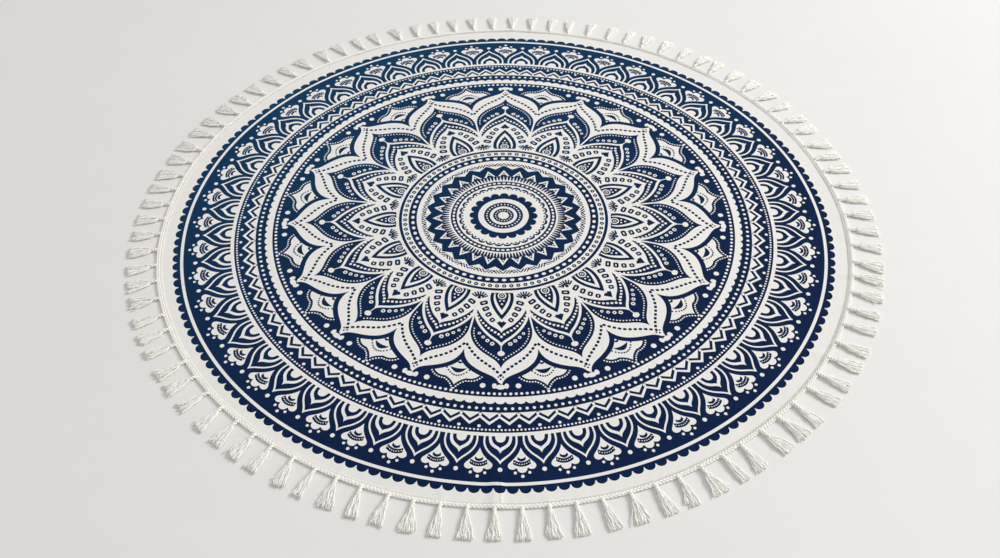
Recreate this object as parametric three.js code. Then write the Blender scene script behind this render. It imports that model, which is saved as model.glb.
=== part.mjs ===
// Round cotton tablecloth with a tasselled braid trim, lying flat and face up.
// Millimetres, +Z up. The underside lies on Z = 0, the near side is -Y, and the origin is the
// middle of the round outline.
import * as THREE from 'three';

// Cloth
const CLOTH_RADIUS = 755;
const CLOTH_THICKNESS = 1.5;

// Waves of the hemmed edge: how many round the cloth, their height, and where they start
const OUTLINE_WAVES = [
  { count: 3, height: 1.1, start: 0.7 },
  { count: 5, height: 0.8, start: 2.1 },
  { count: 11, height: 0.5, start: 4.0 },
];

// Braid that carries the tassels, sewn round the hemmed edge
const EDGE_GAP = 0.3;
const BRAID_WIDTH = 9;
const BRAID_THICKNESS = 2.2;

// Tassels: a neck tied to the braid, a bound head and a skirt of three locks. The head's foot and
// crown are shares of its width.
const TASSEL_COUNT = 96;
const LOCKS = 3;
const NECK_WIDTH = 6;
const HEAD_START = 7;
const HEAD_WIDTH = 9;
const HEAD_HEIGHT = 6.5;
const HEAD_FOOT = 0.7;
const HEAD_CROWN = 0.55;
const WAIST_START = 14;
const WAIST_WIDTH = 8;
const SKIRT_START = 17;
const SKIRT_HEIGHT = 5.6;
const TASSEL_LENGTH = 62;
const ROOT_LOCK_WIDTH = 3.2;
const ROOT_LOCK_PITCH = 3.8;
const MIDDLE_LOCK_WIDTH = 6;
const MIDDLE_LOCK_PITCH = 7.4;
const MIDDLE_HEIGHT = 5.2;
const TIP_LOCK_WIDTH = 8.4;
const TIP_LOCK_PITCH = 10.5;
const TIP_HEIGHT = 2.6;

// Share of the turn from one side to the next where the unevenness starts and is full
const EVEN_SIDE = 0.1;
const UNEVEN_FROM = 0.5;

// The tassels stand closer on the near side and wider apart on the far side, by this share
const CROWDING = 0.05;

// Large unrelated numbers that scatter items and traits over a sine wave
const ITEM_STEP = 12.9898;
const TRAIT_STEP = 78.233;
const SCATTER = 43758.5453;

// How far one tassel differs from the next
const SPACING_WANDER = THREE.MathUtils.degToRad(0.28);
const LEAN = THREE.MathUtils.degToRad(7);
const SHORTEST = 0.9;
const SPREAD_CHANGE = 0.25;

// Rings of the cloth's mesh, as shares of its radius, with their number of points
const INNER_RINGS = [
  { share: 0.93, points: 2 * TASSEL_COUNT },
  { share: 0.82, points: TASSEL_COUNT },
  { share: 0.6, points: TASSEL_COUNT },
  { share: 0.4, points: TASSEL_COUNT / 2 },
  { share: 0.2, points: TASSEL_COUNT / 4 },
];

// Soft creases that run to the edge at a tassel: where the crease starts as a share of the
// radius, half its width, and its height
const CREASES = [
  { tassel: 95, start: 0.8, halfWidth: 13, height: 3.2 },
  { tassel: 1, start: 0.94, halfWidth: 9, height: 1.4 },
  { tassel: 15, start: 0.93, halfWidth: 14, height: 2.4 },
  { tassel: 20, start: 0.92, halfWidth: 14, height: 2.2 },
  { tassel: 24, start: 0.92, halfWidth: 16, height: 2.4 },
  { tassel: 38, start: 0.94, halfWidth: 16, height: 1.6 },
  { tassel: 47, start: 0.93, halfWidth: 14, height: 2.0 },
  { tassel: 52, start: 0.94, halfWidth: 12, height: 1.6 },
  { tassel: 64, start: 0.93, halfWidth: 14, height: 1.8 },
  { tassel: 73, start: 0.92, halfWidth: 16, height: 2.2 },
  { tassel: 78, start: 0.93, halfWidth: 12, height: 1.6 },
  { tassel: 89, start: 0.93, halfWidth: 10, height: 1.6 },
  { tassel: 93, start: 0.93, halfWidth: 9, height: 1.4 },
];
const CREASE_FADE = 0.1;
const FLAT_BELOW = 0.12;

const TURN = 2 * Math.PI;
const PITCH = TURN / TASSEL_COUNT;

// A repeatable number from -1 to 1 for an item and a trait
function wander(item, trait) {
  const wave = Math.sin(ITEM_STEP * (item + 1) + TRAIT_STEP * (trait + 1)) * SCATTER;
  return 2 * (wave - Math.floor(wave)) - 1;
}

function crowded(even) {
  return even - CROWDING * Math.sin(even);
}

// Unevenness is let in between the four sides, so that the outline stays centred
function betweenSides(angle) {
  return THREE.MathUtils.smoothstep(Math.abs(Math.sin(2 * angle)), EVEN_SIDE, UNEVEN_FROM);
}

// Tassel k stands half a pitch off the near side, so that the outline is even on all four sides
function tasselAngle(k) {
  const angle = crowded((k + 0.5) * PITCH);
  return angle + SPACING_WANDER * wander(k, 0) * betweenSides(angle);
}

function edgeRadius(angle) {
  const waves = OUTLINE_WAVES.reduce((sum, { count, height, start }) => (
    sum + height * Math.sin(count * angle + start)
  ), 0);
  return CLOTH_RADIUS + betweenSides(angle) * waves;
}

// Height of the underside over the table: zero but for the creases
function lift(radius, angle) {
  const share = radius / CLOTH_RADIUS;
  let height = 0;
  for (const crease of CREASES) {
    const turn = angle - tasselAngle(crease.tassel);
    const across = radius * Math.sin(turn) / crease.halfWidth;
    const along = THREE.MathUtils.smoothstep(share, crease.start, crease.start + CREASE_FADE);
    if (Math.cos(turn) > 0) {
      height += crease.height * along * Math.exp(-across * across);
    }
  }
  return Math.max(0, height - FLAT_BELOW);
}

// Angle 0 is the near side, and angles grow towards +X
function polar(radius, angle, height) {
  return new THREE.Vector3(radius * Math.sin(angle), -radius * Math.cos(angle), height);
}

// Points and triangles of one closed solid
class Solid {
  constructor() {
    this.points = [];
    this.triangles = [];
  }

  point(position) {
    this.points.push(position);
    return this.points.length - 1;
  }

  triangle(a, b, c) {
    this.triangles.push(a, b, c);
  }

  quad(a, b, c, d) {
    this.triangle(a, b, c);
    this.triangle(a, c, d);
  }

  // Skin between two closed loops; places run from 0 to 1 round each loop
  skin(loopA, placesA, loopB, placesB) {
    let a = 0;
    let b = 0;
    while (a < loopA.length || b < loopB.length) {
      const nextA = a + 1 < loopA.length ? placesA[a + 1] : 1 + placesA[0];
      const nextB = b + 1 < loopB.length ? placesB[b + 1] : 1 + placesB[0];
      const hereA = loopA[a % loopA.length];
      const hereB = loopB[b % loopB.length];
      if (b === loopB.length || (a < loopA.length && nextA <= nextB)) {
        this.triangle(hereA, loopA[(a + 1) % loopA.length], hereB);
        a += 1;
      } else {
        this.triangle(hereA, loopB[(b + 1) % loopB.length], hereB);
        b += 1;
      }
    }
  }

  // Share of the way round a loop at which each of its points stands
  placesByLength(loop) {
    const steps = loop.map((index, i) => (
      this.points[index].distanceTo(this.points[loop[(i + 1) % loop.length]])
    ));
    const length = steps.reduce((sum, step) => sum + step, 0);
    let way = 0;
    return steps.map((step) => {
      const place = way / length;
      way += step;
      return place;
    });
  }

  tube(loopA, loopB) {
    this.skin(loopA, this.placesByLength(loopA), loopB, this.placesByLength(loopB));
  }

  mesh(name, material) {
    const geometry = new THREE.BufferGeometry();
    const values = this.points.flatMap((point) => point.toArray());
    geometry.setAttribute('position', new THREE.Float32BufferAttribute(values, 3));
    geometry.setIndex(this.triangles);
    geometry.computeVertexNormals();
    const mesh = new THREE.Mesh(geometry, material);
    mesh.name = name;
    return mesh;
  }
}

// The edge has a point on each side of every tassel's neck
function edgeAngles() {
  const half = NECK_WIDTH / 2 / (CLOTH_RADIUS + BRAID_WIDTH);
  const angles = [];
  for (let k = 0; k < TASSEL_COUNT; k += 1) {
    angles.push(tasselAngle(k) - half, tasselAngle(k) + half);
  }
  return angles;
}

function ringAngles(count) {
  return Array.from({ length: count }, (_, i) => crowded((i + 0.5) * TURN / count));
}

function clothSolid() {
  const solid = new Solid();
  const edge = edgeAngles();
  const rings = [{ share: 1, angles: edge }];
  for (const { share, points } of INNER_RINGS) {
    rings.push({ share, angles: points === edge.length ? edge : ringAngles(points) });
  }
  const layers = [0, CLOTH_THICKNESS].map((thickness) => rings.map(({ share, angles }) => (
    angles.map((angle) => {
      const radius = share * edgeRadius(angle);
      return solid.point(polar(radius, angle, lift(radius, angle) + thickness));
    })
  )));
  const places = rings.map(({ angles }) => angles.map((angle) => angle / TURN));
  const [under, face] = layers;
  for (let i = 0; i + 1 < rings.length; i += 1) {
    solid.skin(face[i], places[i], face[i + 1], places[i + 1]);
    solid.skin(under[i + 1], places[i + 1], under[i], places[i]);
  }
  solid.skin(under[0], places[0], face[0], places[0]);
  const last = rings.length - 1;
  const middleUnder = solid.point(polar(0, 0, 0));
  const middleFace = solid.point(polar(0, 0, CLOTH_THICKNESS));
  for (let i = 0; i < rings[last].angles.length; i += 1) {
    const next = (i + 1) % rings[last].angles.length;
    solid.triangle(face[last][i], face[last][next], middleFace);
    solid.triangle(under[last][next], under[last][i], middleUnder);
  }
  return solid;
}

// One station of the braid: its four corners at an angle
function braidStation(solid, angle) {
  const inner = edgeRadius(angle) + EDGE_GAP;
  const outer = inner + BRAID_WIDTH;
  const low = lift(edgeRadius(angle), angle);
  const high = low + BRAID_THICKNESS;
  return {
    innerLow: solid.point(polar(inner, angle, low)),
    innerHigh: solid.point(polar(inner, angle, high)),
    outerLow: solid.point(polar(outer, angle, low)),
    outerHigh: solid.point(polar(outer, angle, high)),
  };
}

function braidStretch(solid, a, b) {
  solid.quad(a.outerHigh, b.outerHigh, b.innerHigh, a.innerHigh);
  solid.quad(a.innerLow, b.innerLow, b.outerLow, a.outerLow);
  solid.quad(b.innerLow, a.innerLow, a.innerHigh, b.innerHigh);
}

// A six-sided section of the neck or the head, flat on the table
function boundLoop(solid, at, way, width, height) {
  const half = width / 2;
  return [
    solid.point(at(way, -half * HEAD_FOOT, 0)),
    solid.point(at(way, half * HEAD_FOOT, 0)),
    solid.point(at(way, half, height / 2)),
    solid.point(at(way, half * HEAD_CROWN, height)),
    solid.point(at(way, -half * HEAD_CROWN, height)),
    solid.point(at(way, -half, height / 2)),
  ];
}

// A three-sided section of a lock: flat underneath, with a ridge on top
function lockLoop(solid, at, way, middle, width, height) {
  return [
    solid.point(at(way, middle - width / 2, 0)),
    solid.point(at(way, middle + width / 2, 0)),
    solid.point(at(way, middle, height)),
  ];
}

function addTassel(solid, k, a, b) {
  const angle = tasselAngle(k);
  const free = betweenSides(angle);
  const lean = LEAN * wander(k, 1) * free;
  const spread = 1 + SPREAD_CHANGE * wander(k, 2) * free;
  const shortest = 1 - (1 - SHORTEST) * free;
  const root = polar(edgeRadius(angle) + EDGE_GAP + BRAID_WIDTH, angle, 0);
  const out = polar(1, angle + lean, 0);
  const side = new THREE.Vector3(-out.y, out.x, 0);
  const at = (way, across, height) => root.clone()
    .addScaledVector(out, way)
    .addScaledVector(side, across)
    .setZ(height);

  const neck = [a.outerLow, b.outerLow, b.outerHigh, a.outerHigh];
  const head = boundLoop(solid, at, HEAD_START, HEAD_WIDTH, HEAD_HEIGHT);
  const waist = boundLoop(solid, at, WAIST_START, WAIST_WIDTH, HEAD_HEIGHT);
  solid.tube(neck, head);
  solid.tube(head, waist);

  const roots = [];
  for (let i = 0; i < LOCKS; i += 1) {
    const middle = (i - 1) * ROOT_LOCK_PITCH;
    roots.push(lockLoop(solid, at, SKIRT_START, middle, ROOT_LOCK_WIDTH, SKIRT_HEIGHT));
  }
  const bottoms = roots.flatMap(([left, right]) => [left, right]);
  const tops = roots.map(([, , top]) => top).reverse();
  solid.tube(waist, [...bottoms, ...tops]);
  for (let i = 0; i + 1 < LOCKS; i += 1) {
    solid.quad(roots[i][1], roots[i + 1][0], roots[i + 1][2], roots[i][2]);
  }

  roots.forEach((lockRoot, i) => {
    const place = i - 1;
    const length = TASSEL_LENGTH * (shortest + (1 - shortest) * Math.abs(wander(k, 3 + i)));
    const halfway = (SKIRT_START + length) / 2;
    const middleAt = place * MIDDLE_LOCK_PITCH * spread;
    const tipAt = place * TIP_LOCK_PITCH * spread;
    const middle = lockLoop(solid, at, halfway, middleAt, MIDDLE_LOCK_WIDTH * spread, MIDDLE_HEIGHT);
    const tip = lockLoop(solid, at, length, tipAt, TIP_LOCK_WIDTH * spread, TIP_HEIGHT);
    solid.tube(lockRoot, middle);
    solid.tube(middle, tip);
    solid.triangle(...tip);
  });
}

function trimSolid() {
  const solid = new Solid();
  const stations = edgeAngles().map((angle) => braidStation(solid, angle));
  for (let k = 0; k < TASSEL_COUNT; k += 1) {
    const a = stations[2 * k];
    const b = stations[2 * k + 1];
    const next = stations[(2 * k + 2) % stations.length];
    braidStretch(solid, a, b);
    braidStretch(solid, b, next);
    solid.quad(b.outerLow, next.outerLow, next.outerHigh, b.outerHigh);
    addTassel(solid, k, a, b);
  }
  return solid;
}

const printedCotton = new THREE.MeshStandardMaterial({ color: 0x5f708f, roughness: 0.92 });
const naturalCotton = new THREE.MeshStandardMaterial({ color: 0xece5d8, roughness: 0.9 });

const group = new THREE.Group();
group.add(clothSolid().mesh('cloth', printedCotton));
group.add(trimSolid().mesh('tassel_trim', naturalCotton));

export default group;
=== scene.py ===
"""Round printed cotton tablecloth with a plaited braid and yarn tassels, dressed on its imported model.

Metres, +Z up. Angle 0 is the near side (-Y), and angles grow towards +X.
"""
import math

import bpy
import numpy as np
from mathutils import Matrix, Vector
from mathutils.geometry import delaunay_2d_cdt


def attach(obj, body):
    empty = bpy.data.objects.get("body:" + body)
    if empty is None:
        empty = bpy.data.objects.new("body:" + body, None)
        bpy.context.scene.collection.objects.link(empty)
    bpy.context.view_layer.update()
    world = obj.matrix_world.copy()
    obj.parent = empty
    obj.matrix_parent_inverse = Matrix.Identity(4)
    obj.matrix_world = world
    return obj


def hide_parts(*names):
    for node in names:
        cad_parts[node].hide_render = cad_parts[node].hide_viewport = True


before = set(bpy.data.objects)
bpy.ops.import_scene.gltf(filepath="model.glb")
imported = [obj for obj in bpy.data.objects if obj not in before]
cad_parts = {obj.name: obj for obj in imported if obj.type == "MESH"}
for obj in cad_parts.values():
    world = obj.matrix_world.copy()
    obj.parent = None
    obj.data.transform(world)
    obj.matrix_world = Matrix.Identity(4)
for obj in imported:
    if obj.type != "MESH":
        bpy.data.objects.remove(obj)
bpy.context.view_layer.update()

bl_info = {
    "name": "Round printed tablecloth",
    "version": (1, 0, 0),
    "blender": (4, 5, 0),
    "location": "3D View > Sidebar > Tablecloth",
    "description": "Builds a printed round cotton cloth, its plaited braid, its tassels and a plain stage",
    "category": "Add Mesh",
}

TURN = 2 * math.pi
MM = 0.001
UP = np.array([0.0, 0.0, 1.0])

# The model's own layout, which the dressing repeats
CLOTH_RADIUS = 755 * MM
EDGE_GAP = 0.3 * MM
# Waves of the outline: how many go round, their height and where they start
OUTLINE_WAVES = ((3, 1.1 * MM, 0.7), (5, 0.8 * MM, 2.1), (11, 0.5 * MM, 4.0))
TASSEL_COUNT = 96
# How much closer together the tassels stand on the near side
CROWDING = 0.05
# The outline and the tassels are even at the four sides, and fully uneven from here on
EVEN_SIDE = 0.1
UNEVEN_FROM = 0.5
SPACING_WANDER = math.radians(0.28)
LEAN = math.radians(7)
SPREAD_CHANGE = 0.25
# The share of the radius over which a crease rises, and the height that is pressed flat
CREASE_FADE = 0.1
FLAT_BELOW = 0.12 * MM
# What wanders from tassel to tassel, and the steps that scatter it
SPACING, LEANING, SPREADING, BENDING = 0, 1, 2, 6
ITEM_STEP = 12.9898
TRAIT_STEP = 78.233
SCATTER = 43758.5453

# Creases that run to the edge at a tassel: tassel, start as a share of the radius, half width
# and height
CREASES = (
    (95, 0.80, 13 * MM, 3.2 * MM),
    (1, 0.94, 9 * MM, 1.4 * MM),
    (15, 0.93, 14 * MM, 2.4 * MM),
    (20, 0.92, 14 * MM, 2.2 * MM),
    (24, 0.92, 16 * MM, 2.4 * MM),
    (38, 0.94, 16 * MM, 1.6 * MM),
    (47, 0.93, 14 * MM, 2.0 * MM),
    (52, 0.94, 12 * MM, 1.6 * MM),
    (64, 0.93, 14 * MM, 1.8 * MM),
    (73, 0.92, 16 * MM, 2.2 * MM),
    (78, 0.93, 12 * MM, 1.6 * MM),
    (89, 0.93, 10 * MM, 1.6 * MM),
    (93, 0.93, 9 * MM, 1.4 * MM),
)

COTTON, NAVY = 0, 1


def wander(item, trait):
    """A repeatable number from -1 to 1 for an item and a trait."""
    wave = np.sin(ITEM_STEP * (item + 1) + TRAIT_STEP * (trait + 1)) * SCATTER
    return 2 * (wave - np.floor(wave)) - 1


def smoothstep(value, low, high):
    share = np.clip((value - low) / (high - low), 0, 1)
    return share * share * (3 - 2 * share)


def crowded(even):
    return even - CROWDING * np.sin(even)


def between_sides(angle):
    return smoothstep(np.abs(np.sin(2 * angle)), EVEN_SIDE, UNEVEN_FROM)


def tassel_angle(k):
    angle = crowded((k + 0.5) * TURN / TASSEL_COUNT)
    return angle + SPACING_WANDER * wander(k, SPACING) * between_sides(angle)


def edge_radius(angle):
    waves = sum(height * np.sin(count * angle + start) for count, height, start in OUTLINE_WAVES)
    return CLOTH_RADIUS + between_sides(angle) * waves


def lift(radius, angle):
    """Height of the cloth's underside over the table."""
    share = radius / CLOTH_RADIUS
    height = np.zeros_like(radius)
    for tassel, start, half_width, crest in CREASES:
        turn = angle - tassel_angle(tassel)
        across = radius * np.sin(turn) / half_width
        along = smoothstep(share, start, start + CREASE_FADE)
        height += np.where(np.cos(turn) > 0, crest * along * np.exp(-across * across), 0)
    return np.maximum(0, height - FLAT_BELOW)


def polar(radius, angle):
    return radius * np.sin(angle), -radius * np.cos(angle)


def radius_and_angle(x, y):
    return np.hypot(x, y), np.arctan2(x, -y)


# The share of a bar's shorter side that is cut off at a corner
CUT_CORNER = 0.22
# The width of a bowed band's inner edge beside that of its outer edge
BAND_TAPER = 0.9
# The least cosine of half a corner's turn for which a moved outline is kept sharp
SHARPEST_CORNER = 0.42


# Outlines of the print lie in its own plane, where its scalloped edge has radius 1. A motif is
# drawn round the near side's axis, x across it and y outward, and then turned to its place.
def circle(x, y, radius, sides):
    steps = (TURN * i / sides for i in range(sides))
    return [(x + radius * math.cos(a), y + radius * math.sin(a)) for a in steps]


def oval(x, y, across, along, sides):
    return [(x + across * (px - x), y + along * (py - y)) for px, py in circle(x, y, 1, sides)]


def bar(x, y, angle, length, width):
    """A short bar with cut corners, lying at an angle to the y axis."""
    corner = CUT_CORNER * min(length, width)
    half, side = length / 2, width / 2
    steps = (
        (side, half - corner),
        (side - corner, half),
        (corner - side, half),
        (-side, half - corner),
        (-side, corner - half),
        (corner - side, -half),
        (side - corner, -half),
        (side, corner - half),
    )
    sine, cosine = math.sin(angle), math.cos(angle)
    return [(x + a * cosine + b * sine, y - a * sine + b * cosine) for a, b in steps]


def bezier(points, steps):
    """Points along a cubic curve, its last one left out."""
    curve = []
    for i in range(steps):
        t = i / steps
        weights = ((1 - t) ** 3, 3 * t * (1 - t) ** 2, 3 * t * t * (1 - t), t ** 3)
        curve.append(tuple(sum(w * p[axis] for w, p in zip(weights, points)) for axis in (0, 1)))
    return curve


def ogee(curves, steps):
    """An open outline from the right foot over the tip to the left foot, from right-hand curves."""
    right = [point for curve in curves for point in bezier(curve, steps)]
    tip = curves[-1][-1]
    return right + [tip] + [(-x, y) for x, y in reversed(right)]


def inset(outline, distance):
    """Moves an open outline inwards, its corners kept sharp."""
    moved = []
    for i, (x, y) in enumerate(outline):
        ahead = outline[min(i + 1, len(outline) - 1)]
        behind = outline[max(i - 1, 0)]
        before = Vector((x - behind[0], y - behind[1]))
        after = Vector((ahead[0] - x, ahead[1] - y))
        before = before.normalized() if before.length else after.normalized()
        after = after.normalized() if after.length else before
        way = (before + after).normalized()
        stretch = 1 / max(SHARPEST_CORNER, math.sqrt((1 + before.dot(after)) / 2))
        moved.append((x - way.y * distance * stretch, y + way.x * distance * stretch))
    return moved


def spaced(outline, count, start=0.0, end=1.0):
    """Places at equal steps along an open outline: x, y and the angle of the outline there."""
    points = [Vector(point) for point in outline]
    ways = [0.0]
    for a, b in zip(points, points[1:]):
        ways.append(ways[-1] + (b - a).length)
    places = []
    for i in range(count):
        way = ways[-1] * (start + (end - start) * (i + 0.5) / count)
        k = max(j for j in range(len(points) - 1) if ways[j] <= way)
        step = points[k + 1] - points[k]
        spot = points[k] + step * (way - ways[k]) / step.length
        places.append((spot.x, spot.y, math.atan2(step.x, step.y)))
    return places


def crosswise(steps):
    """Shares from -1 to 1 in equal steps."""
    return [2 * i / steps - 1 for i in range(steps + 1)]


def bow(y, half_width, rise, shares):
    """Points on a bow whose ends lie at y, towards the middle of the cloth."""
    return [(half_width * share, y + rise * (1 - share * share)) for share in shares]


def crescent(y, half_width, depth, thickness, steps):
    """A smile: its horns towards the middle of the cloth, its belly outward."""
    outer, inner = (bow(y, half_width, rise, crosswise(steps)) for rise in (depth, depth - thickness))
    return outer + inner[-2:0:-1]


def band(y, half_width, depth, thickness, steps):
    """A bowed band of even thickness, its ends towards the middle of the cloth."""
    half = thickness / 2
    outer = bow(y + half, half_width, depth - half, crosswise(steps))
    inner = bow(y - half, half_width * BAND_TAPER, depth - half, crosswise(steps))
    return outer + inner[::-1]


class Drawing:
    """Filled outlines laid over each other, of which the last one laid shows.

    The rings were drawn by eye: their motifs stand closer on the near side, and some stand closer
    to the left and right too. drift holds those two shares and the ring's own turn.
    """

    def __init__(self):
        self.points = []
        self.outlines = []
        self.inks = []
        self.drift = (0.0, 0.0, 0.0)

    def drifted(self, angle):
        near, sides, turn = self.drift
        return angle - near * math.sin(angle) - sides / 2 * math.sin(2 * angle) + turn

    def lay(self, ink, outline, angle=0.0):
        area = sum(a[0] * b[1] - b[0] * a[1] for a, b in zip(outline, outline[1:] + outline[:1]))
        first = len(self.points)
        for x, y in outline if area < 0 else outline[::-1]:
            self.points.append(polar(math.hypot(x, y), self.drifted(angle + math.atan2(x, y))))
        self.outlines.append(list(range(first, first + len(outline))))
        self.inks.append(ink)

    def lay_round(self, ink, count, outline, phase=0.0):
        """Lays one outline count times round the middle."""
        for i in range(count):
            self.lay(ink, outline, TURN * (i + phase) / count)

    def lay_pairs(self, ink, count, outline, phase=0.0):
        """Lays an outline and its mirror image count times round the middle."""
        self.lay_round(ink, count, outline, phase)
        self.lay_round(ink, count, [(-x, y) for x, y in outline], phase)

    def disc(self, ink, radius, sides=360):
        self.lay(ink, circle(0, 0, radius, sides))

    def wavy(self, ink, count, steps, wave):
        """A disc whose radius repeats a wave, given over a share from 0 to 1, count times."""
        total = count * steps
        radii = [wave(i % steps / steps) for i in range(total)]
        self.lay(ink, [(r * math.sin(TURN * i / total), r * math.cos(TURN * i / total))
                       for i, r in enumerate(radii)])

    def scalloped(self, ink, count, cusp, tip, steps=6):
        """A disc with an edge of round lobes."""
        self.wavy(ink, count, steps, lambda share: (
            cusp + (tip - cusp) * math.sqrt(math.sin(math.pi * share))))

    def star(self, ink, count, inner, outer):
        """A disc with a zigzag edge."""
        self.wavy(ink, count, 2, lambda share: inner if share else outer)


# How often each motif of the print goes round, from its edge to its middle
SCALLOPS = 177
ARCHES = 49
SMALL_DOTS = 480
ZIGZAGS = 94
OUTER_BEADS = 236
SCALES = 160
INNER_BEADS = 288
PETALS = 16
SMALL_RINGS = 88
CROWN_OVALS = 72
PEAKS = 28
MIDDLE_OVALS = 64
LACE_LOBES = 30
BUMPS = 20
LARGE_RING_BEADS = 30
SMALL_RING_BEADS = 18
HEART_LOBES = 10
# A motif that stands between two of its neighbours
BETWEEN = 0.5
HALF_PETAL = math.tan(math.pi / PETALS)


def draw_edge(drawing):
    """The scalloped edge, a white line and the navy ground inside it."""
    drawing.drift = (0.086, 0.021, 0.0)
    drawing.scalloped(NAVY, SCALLOPS, 0.9890, 1.0038, 8)
    drawing.disc(COTTON, 0.9812)
    drawing.disc(NAVY, 0.9722)


def draw_arches(drawing):
    """The pointed arches of the outer ring, each with three more inside it and a dot over it."""
    drawing.drift = (0.0715, 0.0133, math.radians(-0.9))
    base = 0.825
    arch = ogee([
        ((0.0445, base), (0.0480, 0.8450), (0.0515, 0.8630), (0.0310, 0.8870)),
        ((0.0310, 0.8870), (0.0215, 0.8980), (0.0090, 0.9050), (0.0, 0.9215)),
    ], 8)
    middle = ogee([
        ((0.0318, base), (0.0338, 0.8480), (0.0305, 0.8610), (0.0150, 0.8715)),
        ((0.0150, 0.8715), (0.0090, 0.8755), (0.0035, 0.8790), (0.0, 0.8885)),
    ], 7)
    inner = ogee([
        ((0.0238, base), (0.0258, 0.8450), (0.0230, 0.8560), (0.0075, 0.8660)),
        ((0.0075, 0.8660), (0.0045, 0.8680), (0.0015, 0.8690), (0.0, 0.8730)),
    ], 6)
    heart = ogee([((0.0148, base), (0.0160, 0.8450), (0.0115, 0.8530), (0.0, 0.8535))], 7)
    for ink, outline in (
        (COTTON, arch),
        (NAVY, inset(arch, 0.0052)),
        (COTTON, middle),
        (NAVY, inner),
        (COTTON, heart),
        (COTTON, circle(0, 0.9370, 0.0065, 10)),
    ):
        drawing.lay_round(ink, ARCHES, outline)


def draw_flowers(drawing):
    """A bell with a lobed hem between each two arches."""
    bell = ogee([((0.0355, 0.9160), (0.0190, 0.9010), (0.0070, 0.8910), (0.0, 0.8700))], 8)
    hem = [(-0.0240, 0.9280), (0.0, 0.9360), (0.0240, 0.9280)]
    drawing.lay_round(COTTON, ARCHES, bell + hem, BETWEEN)
    drawing.lay_pairs(COTTON, ARCHES, oval(0.0262, 0.9235, 0.0125, 0.0108, 14), BETWEEN)
    drawing.lay_round(COTTON, ARCHES, oval(0, 0.9325, 0.0138, 0.0122, 14), BETWEEN)
    drawing.lay_round(COTTON, ARCHES, circle(0, 0.9545, 0.0048, 9), BETWEEN)
    drawing.lay_pairs(COTTON, ARCHES, circle(0.0195, 0.9440, 0.0044, 8), BETWEEN)
    drawing.lay_round(NAVY, ARCHES, band(0.9010, 0.0118, 0.0105, 0.0082, 6), BETWEEN)
    drawing.lay_round(NAVY, ARCHES, band(0.9115, 0.0245, 0.0152, 0.0140, 10), BETWEEN)
    beads = 7
    for x, y in bow(0.9110, 0.0225, 0.0090, [(2 * i + 1) / beads - 1 for i in range(beads)]):
        drawing.lay_round(COTTON, ARCHES, circle(x, y, 0.0018, 6), BETWEEN)


def draw_zigzag(drawing):
    """A row of dots and three zigzag lines, with a spot in each valley."""
    drawing.disc(COTTON, 0.8340)
    drawing.disc(NAVY, 0.8235)
    drawing.drift = (0.055, 0.0, 0.0)
    drawing.lay_round(COTTON, SMALL_DOTS, circle(0, 0.8148, 0.0032, 7))
    drawing.drift = (-0.01, 0.044, math.radians(0.7))
    drawing.lay_round(COTTON, ZIGZAGS, circle(0, 0.8035, 0.0048, 8), BETWEEN)
    drawing.star(COTTON, ZIGZAGS, 0.7775, 0.8000)
    drawing.star(NAVY, ZIGZAGS, 0.7695, 0.7905)
    drawing.star(COTTON, ZIGZAGS, 0.7595, 0.7805)
    drawing.lay_round(COTTON, ZIGZAGS, circle(0, 0.7665, 0.0044, 8), BETWEEN)


def draw_bead_rows(drawing):
    """Two rows of beads, with a line of scales between them."""
    drawing.drift = (0.055, 0.0, 0.0)
    drawing.disc(NAVY, 0.7600)
    drawing.lay_round(COTTON, OUTER_BEADS, circle(0, 0.7475, 0.0047, 8))
    drawing.scalloped(COTTON, SCALES, 0.7250, 0.7325, 5)
    drawing.disc(NAVY, 0.7095)
    drawing.lay_round(COTTON, INNER_BEADS, circle(0, 0.6990, 0.0045, 8))


def petal_outlines():
    """The petal's own edge, its field's edge and the pointed arch inside it."""
    foot = 0.30
    valley = 0.5414
    edge = ogee([
        ((foot * HALF_PETAL, foot), (0.40 * HALF_PETAL, 0.40), (0.46 * HALF_PETAL, 0.46),
         (valley * HALF_PETAL, valley)),
        ((valley * HALF_PETAL, valley), (0.1085, 0.5850), (0.0840, 0.6070), (0.0500, 0.6262)),
        ((0.0500, 0.6262), (0.0270, 0.6385), (0.0080, 0.6450), (0.0042, 0.6680)),
    ], 9)
    field = ogee([
        ((0.0768, 0.4000), (0.0817, 0.4250), (0.0863, 0.4480), (0.0907, 0.4700)),
        ((0.0907, 0.4700), (0.0955, 0.5060), (0.0765, 0.5410), (0.0430, 0.5650)),
        ((0.0430, 0.5650), (0.0250, 0.5790), (0.0060, 0.5900), (0.0, 0.6130)),
    ], 8)
    arch = ogee([
        ((0.0830, 0.4000), (0.0835, 0.4380), (0.0640, 0.4740), (0.0335, 0.5030)),
        ((0.0335, 0.5030), (0.0200, 0.5155), (0.0050, 0.5220), (0.0, 0.5400)),
    ], 9)
    return edge, field, arch


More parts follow.
